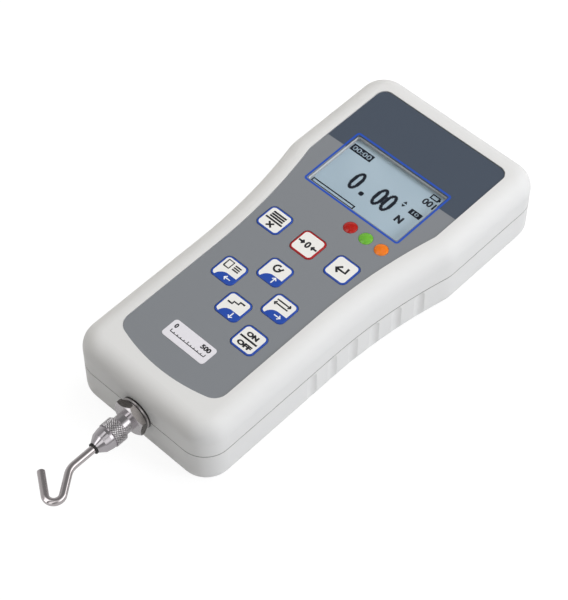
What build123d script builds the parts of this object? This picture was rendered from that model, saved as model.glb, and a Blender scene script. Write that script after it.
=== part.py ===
"""Hand-held digital force gauge with a swivel hook on its measuring spindle.

The gauge lies on its back. +Z points out of the display face, +Y runs from the hook end to
the display end, and the origin is the centre of the four threaded inserts in the back face.
"""

import math
import os

from build123d import *

os.makedirs("parts", exist_ok=True)

# ---------------------------------------------------------------- driving sizes, mm

# Housing
body_length = 160.0          # hook end to display end
body_width = 75.0            # across the display end
grip_width = 62.4            # across the waist held in the hand
lower_height = 15.4          # back face to the parting line
upper_height = 13.5          # parting line to the display face
wall = 2.4                   # side walls
floor_thickness = 2.4        # back wall
face_thickness = 2.6         # front wall behind the keypad
corner_radius = 10.0         # corners seen from the face
face_edge_radius = 7.0       # broad rounding round the display face
back_edge_radius = 4.7       # rounding round the back face
lip_height = 1.2             # locating lip of the lower shell
lip_clearance = 0.1
seam_chamfer = 0.25
shoulder_from_end = 48.5     # display end to where the sides start to narrow
shoulder_radius = 14.0       # rounding of that shoulder
waist_from_end = 100.0       # display end to where the sides run straight again

# Grip scallops in the lower shell
scallop_count = 6
scallop_pitch = 9.9
scallop_depth = 0.8
scallop_radius = 3.5
scallop_from_end = 61.0      # display end to the first scallop
scallop_below_seam = 0.15    # top of each scallop to the parting line

# Keypad overlay
overlay_border = 8.6         # housing side to the overlay's edge
overlay_front_gap = 10.8     # hook end to the overlay's bowed end
overlay_bow_radius = 65.0    # bow of that end
overlay_top_corner = 3.8
overlay_front_corner = 5.4
overlay_recess = 0.8         # depth of the seat in the face
overlay_thickness = 0.4
overlay_clearance = 0.1

# Display
window_width = 41.0
window_height = 26.5
window_from_end = 44.45      # display end to the window's centre
window_corner = 1.0
window_depth = 1.35          # overlay to the pane
pane_thickness = 0.8
pane_clearance = 0.05
lcd_thickness = 1.8
lcd_margin = 2.0             # glass beyond the window on each side
backlight_thickness = 1.2
lcd_bezel_wall = 0.8
lcd_side_gap = 0.1
display_gap = 0.05           # between the stacked display layers

# Keys
key_size = 9.9
key_corner = 2.0
key_clearance = 0.15
key_proud = 0.15             # above the overlay
key_edge = 0.2
key_flange = 0.6             # ledge round the key under the face
key_flange_thickness = 0.8
key_flange_gap = 0.1         # ledge to the underside of the face
key_travel = 0.35
key_rest_gap = 0.05          # a key pressed home to its switch button
key_first_row = 79.4         # display end to the first row of keys
key_column = 15.4            # centre line to the outer keys of the first row
key_arrow_column = 11.5      # centre line to the two arrow keys at the sides
key_power_column = 13.1      # centre line to the power key
key_rows = {
    "menu_key": (-key_column, 0.0),
    "zero_key": (0.0, 0.0),
    "enter_key": (key_column, 0.0),
    "reset_key": (0.0, 0.288),
    "print_key": (-key_arrow_column, 0.466),
    "units_key": (key_arrow_column, 0.466),
    "mode_key": (0.0, 0.644),
    "power_key": (key_power_column, 0.754),
}                            # each key: place across, share of the way from first row to label

# Status lights
light_diameter = 5.0
light_flange_diameter = 5.8
light_flange_thickness = 1.0
light_dome_height = 0.7
light_clearance = 0.1
light_from_end = 64.0
light_first_x = 5.25
light_pitch = 6.98

# Range label
label_length = 19.0
label_width = 7.5
label_thickness = 0.12
label_corner = 1.2
label_from_front = 25.0      # hook end to the label's centre
label_x = -0.6

# Circuit board
board_thickness = 1.6
board_edge_gap = 1.2         # to the housing's side walls
board_front_gap = 14.0       # hook end to the board
board_main_end = 16.0        # display end to the board's wide part
board_tongue_end = 4.2       # display end to its narrow tongue
board_tongue_width = 44.0
board_post_diameter = 5.0
board_post_inset = 7.6       # housing side to each post
board_posts_from_end = (18.0, 76.0)
board_posts_from_front = 22.0
board_screw_diameter = 2.2
board_screw_head = 4.2
board_screw_head_height = 1.3
board_screw_length = 4.2
board_hole_clearance = 0.2
switch_size = 6.0
switch_height = 1.6
switch_button_diameter = 3.0

# Battery
cell_diameter = 14.2
cell_length = 50.0
cell_count = 4
cell_gap = 0.3
cell_from_end = 22.0
cell_lift = 4.6              # inside of the back to the lowest cell
cell_nub_diameter = 5.5
cell_nub_length = 1.0
cell_edge = 0.8
tab_thickness = 0.3          # strips that join the cells
tab_width = 6.0
cradle_base = 1.6
cradle_rib = 2.0
cradle_rib_inset = 8.0       # cell's end to each saddle rib
cradle_rib_overhang = 6.5    # ribs beyond the cells' axes at the sides
cradle_overhang = 1.5        # base beyond the cells' axes at the sides
cradle_gap = 0.1
cradle_post_gap = 0.4

# Load cell
cell_block_length = 40.0     # along the measuring axis
cell_side_gap = 0.5          # block to the board screws beside it
cell_block_height = 11.0
cell_block_from_front = 17.0
cell_bar = 9.0               # end bars of the S shape
cell_slot = 1.6              # saw cuts that make the S shape
cell_web = 1.5               # thin gauge webs left beside the two round eyes
cell_eye_spread = 19.0
cell_leg = 6.0               # left beside the blind end of each saw cut
cell_screw_diameter = 4.0
cell_screw_head = 7.0
cell_screw_head_height = 3.0
cell_screw_spread = 28.0
cell_screw_bite = 6.0        # length held in the lower shell's posts
cell_post_diameter = 9.0

# Measuring spindle and what it carries, placed along the spindle from the front face
spindle_diameter = 7.0
spindle_flange_diameter = 11.0
spindle_flange_thickness = 2.5
spindle_root_diameter = 5.0
spindle_root_length = 6.5
spindle_thread_diameter = 6.0
spindle_thread_length = 5.8
spindle_shoulder = 8.05      # front face to where the thread begins
spindle_edge = 0.4
ring_flange_diameter = 12.4
ring_flange_thickness = 1.1
ring_neck_diameter = 11.0
ring_bore_diameter = 8.2
ring_clearance = 0.1
ring_edge = 0.4
nut_across_flats = 12.0
nut_thickness = 2.8
nut_gap = 0.35               # dust ring to nut
nut_chamfer = 0.7
nut_turn = 22.7              # first corner above the horizontal

adapter_diameter = 8.6
adapter_knurl_length = 4.75
adapter_groove_width = 0.35
adapter_groove_depth = 0.45
adapter_ring_diameter = 8.3
adapter_ring_length = 0.9
adapter_taper_diameter = 7.3
adapter_taper_length = 2.4
adapter_nose_diameter = 3.9
adapter_nose_length = 2.5
adapter_edge = 0.35
adapter_thread_depth = 6.2
adapter_seat_gap = 0.05      # spindle shoulder to the adapter
adapter_pocket_diameter = 4.8
adapter_pocket_length = 2.6
thread_fit = 0.05            # radial running fit of the spindle thread
swivel_fit = 0.05            # radial running fit of the hook in the nose
tip_ring_diameter = 4.0
tip_ring_thickness = 0.6

hook_wire = 2.7
hook_head_diameter = 4.6
hook_head_length = 1.5
hook_head_play = 0.15
hook_straight = 8.2          # tip ring to the first bend
hook_bend_radius = 6.5
hook_bend_angle = 35.5
hook_arm = 7.7
hook_bow_radius = 2.9
hook_bow_angle = 160.0
hook_tip = 9.4
hook_tip_edge = 0.3

# Fasteners, inserts and sockets
case_screw_diameter = 3.0
case_screw_head = 5.6
case_screw_head_height = 2.0
case_screw_socket = 2.5      # hexagon socket across flats
case_screw_sink = 5.0        # back face to the seat of the head
case_screw_bite = 7.0        # length held in the upper shell
case_screw_inset = 8.4       # from the housing's outline to each screw
case_post_diameter = 7.6
screw_clearance = 0.2        # round a screw that passes through
thread_clearance = 0.05      # round a screw that is held
insert_spacing_x = 40.0
insert_spacing_y = 70.0
insert_diameter = 6.0
insert_length = 5.0
insert_post_height = 6.5     # from the back face
insert_bore = 3.3            # tapping size of an M4 thread
insert_post_wall = 1.6
usb_width = 12.0
usb_height = 10.9
usb_depth = 16.3
usb_wall = 1.6
usb_tongue_width = 5.6
usb_tongue = 3.2
usb_x = -12.0
power_width = 9.0
power_height = 10.9
power_depth = 14.0
power_bore = 6.0
power_pin_diameter = 2.0
power_pin_set_back = 0.8     # mouth of the bore to the pin's end
power_bore_depth = 9.0
power_x = 12.0
socket_clearance = 0.3
socket_recess = 0.4          # behind the end wall's outer face
buzzer_diameter = 9.0
buzzer_height = 1.8
buzzer_sound_hole = 2.0
buzzer_x = -12.0
chip_size = 10.0
chip_height = 1.4
chip_x = 15.5

# ---------------------------------------------------------------- places worked out

display_end = body_length / 2
front_end = -body_length / 2
seam_z = lower_height
face_z = lower_height + upper_height
inner_face_z = face_z - face_thickness
overlay_top_z = face_z - overlay_recess + overlay_thickness
pane_top_z = overlay_top_z - window_depth
lcd_top_z = min(pane_top_z - pane_thickness, inner_face_z) - display_gap
backlight_top_z = lcd_top_z - lcd_thickness - display_gap
board_top_z = backlight_top_z - backlight_thickness - display_gap
board_bottom_z = board_top_z - board_thickness
key_underside_z = inner_face_z - key_flange_gap - key_flange_thickness
window_y = display_end - window_from_end
waist_y = display_end - waist_from_end
shoulder_y = display_end - shoulder_from_end
lights_y = display_end - light_from_end
label_y = front_end + label_from_front
first_row_y = display_end - key_first_row
light_places = [(light_first_x + index * light_pitch, lights_y) for index in range(3)]
key_places = {
    name: (x, first_row_y + share * (label_y - first_row_y)) for name, (x, share) in key_rows.items()
}
axis_z = seam_z
block_front_y = front_end + cell_block_from_front
block_back_y = block_front_y + cell_block_length
block_bottom_z = axis_z - cell_block_height / 2
cell_block_width = grip_width - 2 * board_post_inset - board_screw_head - 2 * cell_side_gap
cell_screw_y = block_back_y - cell_bar / 2


flank_rise = (body_width - grip_width) / 2
flank_run = shoulder_y - waist_y
flank_radius = (flank_rise**2 + flank_run**2) / (2 * flank_rise)


def side_half_width(y):
    """Half the housing's width at y, along the hollow flank between waist and shoulder."""
    along = min(max(y - waist_y, 0.0), flank_run)
    return grip_width / 2 + flank_radius - math.sqrt(flank_radius**2 - along**2)


def make_plan(inset, corner):
    """Outline of the housing seen from the face, moved inwards by inset."""
    half_body = body_width / 2 - inset
    half_grip = grip_width / 2 - inset
    top = display_end - inset
    bottom = front_end + inset
    shoulder = waist_y + math.sqrt(2 * (flank_radius + inset) * flank_rise - flank_rise**2)
    with BuildSketch(mode=Mode.PRIVATE) as plan:
        with BuildLine():
            Polyline((half_grip, waist_y), (half_grip, bottom), (0, bottom), (0, top), (half_body, top),
                     (half_body, shoulder))
            TangentArc((half_grip, waist_y), (half_body, shoulder), tangent=(0, 1))
        make_face()
        outer = plan.vertices().filter_by(lambda v: v.X > corner)
        fillet(outer.group_by(Axis.Y)[0] + outer.group_by(Axis.Y)[-1], corner)
        kink = plan.vertices().filter_by(lambda v: abs(v.Y - shoulder) < 0.01)
        fillet(kink, shoulder_radius - inset)
        mirror(about=Plane.YZ)
    return plan.sketch


def make_overlay_plan(clearance):
    """Outline of the keypad overlay, or of its seat when clearance is given."""
    bow_centre_y = front_end + overlay_front_gap + overlay_bow_radius
    with BuildSketch(mode=Mode.PRIVATE) as bow:
        with Locations((0, bow_centre_y)):
            Circle(overlay_bow_radius)
        with Locations((0, (bow_centre_y + display_end) / 2)):
            Rectangle(2 * overlay_bow_radius, display_end - bow_centre_y)
    with BuildSketch(mode=Mode.PRIVATE) as plan:
        add(make_plan(overlay_border, overlay_top_corner))
        add(bow.sketch, mode=Mode.INTERSECT)
        fillet(plan.vertices().group_by(Axis.Y)[0], overlay_front_corner)
        if clearance > 0:
            offset(amount=clearance)
    return plan.sketch


def make_face_openings():
    """The display window, key holes and light holes that the overlay and the face share."""
    with BuildSketch(mode=Mode.PRIVATE) as openings:
        with Locations((0, window_y)):
            RectangleRounded(window_width, window_height, window_corner)
        with Locations(*key_places.values()):
            RectangleRounded(
                key_size + 2 * key_clearance, key_size + 2 * key_clearance, key_corner + key_clearance
            )
        with Locations(*light_places):
            Circle(light_diameter / 2 + light_clearance)
    return openings.sketch


def box_between(low, high):
    """A plain block between two opposite corners, to add to or cut from a sub-part."""
    size = [b - a for a, b in zip(low, high)]
    return Pos(*low) * Box(*size, align=(Align.MIN, Align.MIN, Align.MIN), mode=Mode.PRIVATE)


def case_screw_places():
    """The four housing screws, one in each corner."""
    back = display_end - case_screw_inset
    front = front_end + case_screw_inset
    wide = body_width / 2 - case_screw_inset
    narrow = grip_width / 2 - case_screw_inset
    return [(-wide, back), (wide, back), (-narrow, front), (narrow, front)]


def board_post_places():
    """The posts that carry the circuit board, in pairs along the sides."""
    rows = [display_end - back for back in board_posts_from_end] + [front_end + board_posts_from_front]
    return [(side * (side_half_width(y) - board_post_inset), y) for y in rows for side in (-1, 1)]


def scallop_places():
    """Centre lines of the scallop cutters, square to the hollow flank on both sides."""
    places = []
    for index in range(scallop_count):
        y = display_end - scallop_from_end - index * scallop_pitch
        along = min(max(y - waist_y, 0.0), flank_run)
        lean = math.asin(along / flank_radius)
        reach = scallop_radius - scallop_depth
        x = side_half_width(y) + reach * math.cos(lean)
        places += [(x, y - reach * math.sin(lean)), (-x, y - reach * math.sin(lean))]
    return places


plan_outer = make_plan(0, corner_radius)
plan_inner = make_plan(wall, corner_radius - wall)
plan_lip = make_plan(wall / 2 + lip_clearance / 2, corner_radius - wall / 2)
plan_rebate = make_plan(wall / 2 - lip_clearance / 2, corner_radius - wall / 2)
insert_places = [
    (sx * insert_spacing_x / 2, sy * insert_spacing_y / 2) for sx in (-1, 1) for sy in (-1, 1)
]
cell_screw_places = [(side * cell_screw_spread / 2, cell_screw_y) for side in (-1, 1)]
socket_front_y = display_end - socket_recess
socket_cuts = [
    (usb_x, usb_width, usb_height),
    (power_x, power_width, power_height),
]

# ---------------------------------------------------------------- cutters shared by both shells

with BuildPart() as front_bore:
    with BuildSketch(Plane.XZ.offset(-front_end - wall - 1)):
        with Locations((0, axis_z)):
            Circle(ring_neck_diameter / 2 + ring_clearance)
    extrude(amount=wall + 2)

with BuildPart() as socket_openings:
    for x, width, height in socket_cuts:
        reach = width / 2 + socket_clearance
        low_z = board_bottom_z - height - socket_clearance
        high_z = board_bottom_z + socket_clearance
        add(box_between((x - reach, display_end - wall - 2, low_z), (x + reach, display_end + 1, high_z)))

with BuildPart() as scallop_cutter:
    # upright flute whose round top just meets the flank under the parting line
    scallop_rise = math.sqrt(scallop_radius**2 - (scallop_radius - scallop_depth) ** 2)
    round_z = seam_z - scallop_below_seam - scallop_rise
    with BuildSketch(Plane.YZ):
        with BuildLine():
            Polyline((0, round_z + scallop_radius), (0, -1), (scallop_radius, -1),
                     (scallop_radius, round_z))
            RadiusArc((0, round_z + scallop_radius), (scallop_radius, round_z), scallop_radius)
        make_face()
    revolve(axis=Axis.Z)

# ---------------------------------------------------------------- housing

with BuildPart() as lower_cavity:
    with BuildSketch(Plane.XY.offset(floor_thickness)):
        add(plan_inner)
    extrude(amount=lower_height - floor_thickness)
    fillet(lower_cavity.faces().sort_by(Axis.Z)[0].edges(), back_edge_radius - wall)

with BuildPart() as lower_shell:
    with BuildSketch():
        add(plan_outer)
    extrude(amount=lower_height)
    fillet(lower_shell.faces().sort_by(Axis.Z)[0].edges(), back_edge_radius)
    # locating lip along the inner half of the wall
    with BuildSketch(Plane.XY.offset(seam_z)):
        add(plan_lip)
    extrude(amount=lip_height)
    with BuildSketch(Plane.XY.offset(seam_z)):
        add(plan_inner)
    extrude(amount=lip_height, mode=Mode.SUBTRACT)
    add(lower_cavity.part, mode=Mode.SUBTRACT)
    # posts for the housing screws, the load cell and the stand inserts
    with BuildSketch(Plane.XY.offset(floor_thickness / 2)):
        with Locations(*case_screw_places()):
            Circle(case_post_diameter / 2)
    extrude(amount=seam_z - floor_thickness / 2)
    with BuildSketch(Plane.XY.offset(floor_thickness / 2)):
        with Locations(*cell_screw_places):
            Circle(cell_post_diameter / 2)
    extrude(amount=block_bottom_z - floor_thickness / 2)
    with BuildSketch(Plane.XY.offset(floor_thickness / 2)):
        with Locations(*insert_places):
            Circle(insert_diameter / 2 + insert_post_wall)
    extrude(amount=insert_post_height - floor_thickness / 2)
    # their holes, drilled from the back
    with BuildSketch():
        with Locations(*case_screw_places()):
            Circle(case_screw_head / 2 + screw_clearance)
    extrude(amount=case_screw_sink, mode=Mode.SUBTRACT)
    with BuildSketch():
        with Locations(*case_screw_places()):
            Circle(case_screw_diameter / 2 + screw_clearance)
    extrude(amount=seam_z, mode=Mode.SUBTRACT)
    with BuildSketch():
        with Locations(*insert_places):
            Circle(insert_diameter / 2)
    extrude(amount=insert_length, mode=Mode.SUBTRACT)
    with BuildSketch(Plane.XY.offset(block_bottom_z)):
        with Locations(*cell_screw_places):
            Circle(cell_screw_diameter / 2 + thread_clearance)
    extrude(amount=-cell_screw_bite, mode=Mode.SUBTRACT)
    add(front_bore.part, mode=Mode.SUBTRACT)
    add(socket_openings.part, mode=Mode.SUBTRACT)
    # grip scallops, square to the flanks
    with Locations(*scallop_places()):
        add(scallop_cutter.part, mode=Mode.SUBTRACT)
lower_shell.part.label = "lower_shell"
export_step(lower_shell.part, "parts/lower_shell.step")

with BuildPart() as upper_cavity:
    with BuildSketch(Plane.XY.offset(seam_z)):
        add(plan_inner)
    extrude(amount=inner_face_z - seam_z)
    fillet(upper_cavity.faces().sort_by(Axis.Z)[-1].edges(), face_edge_radius - face_thickness)

with BuildPart() as upper_shell:
    with BuildSketch(Plane.XY.offset(seam_z)):
        add(plan_outer)
    extrude(amount=upper_height)
    fillet(upper_shell.faces().sort_by(Axis.Z)[-1].edges(), face_edge_radius)
    chamfer(upper_shell.faces().sort_by(Axis.Z)[0].edges(), seam_chamfer)
    add(upper_cavity.part, mode=Mode.SUBTRACT)
    # rebate over the lower shell's lip
    with BuildSketch(Plane.XY.offset(seam_z)):
        add(plan_rebate)
    extrude(amount=lip_height + lip_clearance, mode=Mode.SUBTRACT)
    # posts for the housing screws and the circuit board
    with BuildSketch(Plane.XY.offset(seam_z)):
        with Locations(*case_screw_places()):
            Circle(case_post_diameter / 2)
    extrude(amount=inner_face_z - seam_z)
    with BuildSketch(Plane.XY.offset(board_top_z)):
        with Locations(*board_post_places()):
            Circle(board_post_diameter / 2)
    extrude(amount=inner_face_z - board_top_z)
    with BuildSketch(Plane.XY.offset(seam_z)):
        with Locations(*case_screw_places()):
            Circle(case_screw_diameter / 2 + thread_clearance)
    extrude(amount=case_screw_bite + 1, mode=Mode.SUBTRACT)
    with BuildSketch(Plane.XY.offset(board_top_z)):
        with Locations(*board_post_places()):
            Circle(board_screw_diameter / 2 + thread_clearance)
    extrude(amount=board_screw_length - board_thickness + 0.4, mode=Mode.SUBTRACT)
    # seat of the overlay, then the window, the key holes and the light holes through the face
    with BuildSketch(Plane.XY.offset(face_z)):
        add(make_overlay_plan(overlay_clearance))
    extrude(amount=-overlay_recess, mode=Mode.SUBTRACT)
    with BuildSketch(Plane.XY.offset(face_z)):
        add(make_face_openings())
    extrude(amount=-face_thickness, mode=Mode.SUBTRACT)
    add(front_bore.part, mode=Mode.SUBTRACT)
    add(socket_openings.part, mode=Mode.SUBTRACT)
upper_shell.part.label = "upper_shell"
export_step(upper_shell.part, "parts/upper_shell.step")

# ---------------------------------------------------------------- keypad face

with BuildPart() as keypad_overlay:
    with BuildSketch(Plane.XY.offset(overlay_top_z)):
        add(make_overlay_plan(0))
        add(make_face_openings(), mode=Mode.SUBTRACT)
    extrude(amount=-overlay_thickness)
keypad_overlay.part.label = "keypad_overlay"
export_step(keypad_overlay.part, "parts/keypad_overlay.step")

with BuildPart() as range_label:
    with BuildSketch(Plane.XY.offset(overlay_top_z)):
        with Locations((label_x, label_y)):
            RectangleRounded(label_length, label_width, label_corner)
    extrude(amount=label_thickness)
range_label.part.label = "range_label"
export_step(range_label.part, "parts/range_label.step")

for key_name, key_place in key_places.items():
    with BuildPart() as key:
        with BuildSketch(Plane.XY.offset(key_underside_z)):
            with Locations(key_place):
                flange_size = key_size + 2 * key_flange
                RectangleRounded(flange_size, flange_size, key_corner + key_flange)
        extrude(amount=key_flange_thickness)
        with BuildSketch(Plane.XY.offset(key_underside_z)):
            with Locations(key_place):
                RectangleRounded(key_size, key_size, key_corner)
        extrude(amount=overlay_top_z + key_proud - key_underside_z)
        chamfer(key.faces().sort_by(Axis.Z)[-1].edges(), key_edge)
    key.part.label = key_name
    export_step(key.part, f"parts/{key_name}.step")

with BuildPart() as light_form:
    # lamp with its foot on the board, a straight barrel and a low dome above the overlay
    foot_r = light_flange_diameter / 2
    barrel_r = light_diameter / 2
    foot_z = board_top_z + light_flange_thickness
    dome_r = (barrel_r**2 + light_dome_height**2) / (2 * light_dome_height)
    with BuildSketch(Plane.XZ):
        with BuildLine():
            Polyline((0, overlay_top_z + light_dome_height), (0, board_top_z), (foot_r, board_top_z),
                     (foot_r, foot_z), (barrel_r, foot_z), (barrel_r, overlay_top_z))
            RadiusArc((0, overlay_top_z + light_dome_height), (barrel_r, overlay_top_z), dome_r)
        make_face()
    revolve(axis=Axis.Z)

for light_name, light_place in zip(("light_red", "light_green", "light_orange"), light_places):
    with BuildPart() as light:
        with Locations(light_place):
            add(light_form.part)
    light.part.label = light_name
    export_step(light.part, f"parts/{light_name}.step")

# ---------------------------------------------------------------- display

with BuildPart() as display_window:
    with BuildSketch(Plane.XY.offset(pane_top_z)):
        with Locations((0, window_y)):
            RectangleRounded(window_width - 2 * pane_clearance, window_height - 2 * pane_clearance,
                             window_corner - pane_clearance)
    extrude(amount=-pane_thickness)
display_window.part.label = "display_window"
export_step(display_window.part, "parts/display_window.step")

lcd_width = window_width + 2 * lcd_margin
lcd_height = window_height + 2 * lcd_margin

with BuildPart() as lcd_panel:
    with BuildSketch(Plane.XY.offset(lcd_top_z)):
        with Locations((0, window_y)):
            Rectangle(lcd_width, lcd_height)
    extrude(amount=-lcd_thickness)
lcd_panel.part.label = "lcd_panel"
export_step(lcd_panel.part, "parts/lcd_panel.step")

with BuildPart() as backlight:
    with BuildSketch(Plane.XY.offset(backlight_top_z)):
        with Locations((0, window_y)):
            Rectangle(lcd_width, lcd_height)
    extrude(amount=-backlight_thickness)
backlight.part.label = "backlight"
export_step(backlight.part, "parts/backlight.step")

bezel_width = lcd_width + 2 * lcd_side_gap
bezel_height = lcd_height + 2 * lcd_side_gap

with BuildPart() as lcd_bezel:
    with BuildSketch(Plane.XY.offset(board_top_z)):
        with Locations((0, window_y)):
            Rectangle(bezel_width + 2 * lcd_bezel_wall, bezel_height + 2 * lcd_bezel_wall)
            Rectangle(bezel_width, bezel_height, mode=Mode.SUBTRACT)
    extrude(amount=inner_face_z - display_gap - board_top_z)
lcd_bezel.part.label = "lcd_bezel"
export_step(lcd_bezel.part, "parts/lcd_bezel.step")

# ---------------------------------------------------------------- circuit board

board_back_y = display_end - board_main_end
board_front_y = front_end + board_front_gap
board_tongue_y = display_end - board_tongue_end

with BuildPart() as main_board:
    with BuildSketch(Plane.XY.offset(board_bottom_z)):
        add(make_plan(wall + board_edge_gap, corner_radius - wall - board_edge_gap))
        with Locations((0, (board_back_y + board_front_y) / 2)):
            Rectangle(body_width, board_back_y - board_front_y, mode=Mode.INTERSECT)
        with Locations((0, (board_back_y + board_tongue_y) / 2)):
            Rectangle(board_tongue_width, board_tongue_y - board_back_y)
        with Locations(*board_post_places()):
            Circle(board_screw_diameter / 2 + board_hole_clearance, mode=Mode.SUBTRACT)
    extrude(amount=board_thickness)
main_board.part.label = "main_board"
export_step(main_board.part, "parts/main_board.step")

with BuildPart() as board_screws:
    with BuildSketch(Plane.XY.offset(board_bottom_z)):
        with Locations(*board_post_places()):
            Circle(board_screw_head / 2)
    extrude(amount=-board_screw_head_height)
    with BuildSketch(Plane.XY.offset(board_bottom_z)):
        with Locations(*board_post_places()):
            Circle(board_screw_diameter / 2)
    extrude(amount=board_screw_length)
board_screws.part.label = "board_screws"
export_step(board_screws.part, "parts/board_screws.step")

with BuildPart() as key_switches:
    with BuildSketch(Plane.XY.offset(board_top_z)):
        with Locations(*key_places.values()):
            Rectangle(switch_size, switch_size)
    extrude(amount=switch_height)
    with BuildSketch(Plane.XY.offset(board_top_z + switch_height)):
        with Locations(*key_places.values()):
            Circle(switch_button_diameter / 2)
    extrude(amount=key_underside_z - key_travel - key_rest_gap - board_top_z - switch_height)
key_switches.part.label = "key_switches"
export_step(key_switches.part, "parts/key_switches.step")

chip_y = (key_places["enter_key"][1] + key_places["units_key"][1]) / 2

with BuildPart() as processor_chip:
    with BuildSketch(Plane.XY.offset(board_top_z)):
        with Locations((chip_x, chip_y)):
            Rectangle(chip_size, chip_size)
    extrude(amount=chip_height)
processor_chip.part.label = "processor_chip"
export_step(processor_chip.part, "parts/processor_chip.step")

buzzer_y = (key_places["print_key"][1] + label_y) / 2

with BuildPart() as buzzer:
    with BuildSketch(Plane.XY.offset(board_top_z)):
        with Locations((buzzer_x, buzzer_y)):
            Circle(buzzer_diameter / 2)
    extrude(amount=buzzer_height)
    with BuildSketch(Plane.XY.offset(board_top_z + buzzer_height)):
        with Locations((buzzer_x, buzzer_y)):
            Circle(buzzer_sound_hole / 2)
    extrude(amount=-buzzer_height / 2, mode=Mode.SUBTRACT)
buzzer.part.label = "buzzer"
export_step(buzzer.part, "parts/buzzer.step")

with BuildPart() as usb_socket:
    usb_z = board_bottom_z - usb_height / 2
    with BuildSketch(Plane.XZ.offset(-socket_front_y)):
        with Locations((usb_x, usb_z)):
            Rectangle(usb_width, usb_height)
    extrude(amount=usb_depth)
    with BuildSketch(Plane.XZ.offset(-socket_front_y)):
        with Locations((usb_x, usb_z)):
            Rectangle(usb_width - 2 * usb_wall, usb_height - 2 * usb_wall)
            Rectangle(usb_tongue_width, usb_tongue, mode=Mode.SUBTRACT)
    extrude(amount=usb_depth / 2, mode=Mode.SUBTRACT)
usb_socket.part.label = "usb_socket"
export_step(usb_socket.part, "parts/usb_socket.step")

power_z = board_bottom_z - power_height / 2

with BuildPart() as power_socket:
    with BuildSketch(Plane.XZ.offset(-socket_front_y)):
        with Locations((power_x, power_z)):
            Rectangle(power_width, power_height)
    extrude(amount=power_depth)
    with BuildSketch(Plane.XZ.offset(-socket_front_y)):
        with Locations((power_x, power_z)):
            Circle(power_bore / 2)
    extrude(amount=power_bore_depth, mode=Mode.SUBTRACT)
power_socket.part.label = "power_socket"
export_step(power_socket.part, "parts/power_socket.step")

with BuildPart() as power_pin:
    with BuildSketch(Plane.XZ.offset(power_bore_depth - socket_front_y)):
        with Locations((power_x, power_z)):
            Circle(power_pin_diameter / 2)
    extrude(amount=power_pin_set_back - power_bore_depth)
power_pin.part.label = "power_pin"
export_step(power_pin.part, "parts/power_pin.step")

# ---------------------------------------------------------------- battery

cell_back_y = display_end - cell_from_end
cell_front_y = cell_back_y - cell_length
cell_axis_z = floor_thickness + cell_lift + cell_diameter / 2
cell_step = cell_diameter + cell_gap
cell_xs = [(index - (cell_count - 1) / 2) * cell_step for index in range(cell_count)]

with BuildPart() as battery_cells:
    with BuildSketch(Plane.XZ.offset(-cell_back_y + cell_nub_length)):
        with Locations(*[(x, cell_axis_z) for x in cell_xs]):
            Circle(cell_diameter / 2)
    extrude(amount=cell_length - cell_nub_length)
    chamfer(battery_cells.edges().filter_by(GeomType.CIRCLE), cell_edge)
    with BuildSketch(Plane.XZ.offset(-cell_back_y)):
        with Locations(*[(x, cell_axis_z) for x in cell_xs]):
            Circle(cell_nub_diameter / 2)
    extrude(amount=cell_nub_length)
battery_cells.part.label = "battery_cells"
export_step(battery_cells.part, "parts/battery_cells.step")

with BuildPart() as battery_tabs:
    # the middle pair is joined at the contact end, the outer pairs at the flat end
    with BuildSketch(Plane.XZ.offset(-cell_back_y)):
        with Locations((0, cell_axis_z)):
            Rectangle(cell_step + tab_width, tab_width)
    extrude(amount=-tab_thickness)
    with BuildSketch(Plane.XZ.offset(-cell_front_y)):
        with Locations((-cell_step, cell_axis_z), (cell_step, cell_axis_z)):
            Rectangle(cell_step + tab_width, tab_width)
    extrude(amount=tab_thickness)
battery_tabs.part.label = "battery_tabs"
export_step(battery_tabs.part, "parts/battery_tabs.step")

with BuildPart() as battery_cradle:
    cradle_half = cell_xs[-1] + cradle_overhang
    with BuildSketch(Plane.XY.offset(floor_thickness)):
        with Locations((0, (cell_back_y + cell_front_y) / 2)):
            Rectangle(2 * cradle_half, cell_length)
        with Locations(*insert_places):
            Circle(insert_diameter / 2 + insert_post_wall + cradle_post_gap, mode=Mode.SUBTRACT)
    extrude(amount=cradle_base)
    # saddle ribs
    for rib_y in (cell_back_y - cradle_rib_inset, cell_front_y + cradle_rib_inset):
        with BuildSketch(Plane.XZ.offset(-rib_y - cradle_rib / 2)):
            with Locations((0, (floor_thickness + cell_axis_z) / 2)):
                Rectangle(2 * (cell_xs[-1] + cradle_rib_overhang), cell_axis_z - floor_thickness)
            with Locations(*[(x, cell_axis_z) for x in cell_xs]):
                Circle(cell_diameter / 2 + cradle_gap, mode=Mode.SUBTRACT)
        extrude(amount=cradle_rib)
battery_cradle.part.label = "battery_cradle"
export_step(battery_cradle.part, "parts/battery_cradle.step")

# ---------------------------------------------------------------- load cell

block_middle_y = (block_front_y + block_back_y) / 2
eye_radius = cell_block_length / 2 - cell_bar - cell_slot - cell_web

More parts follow.
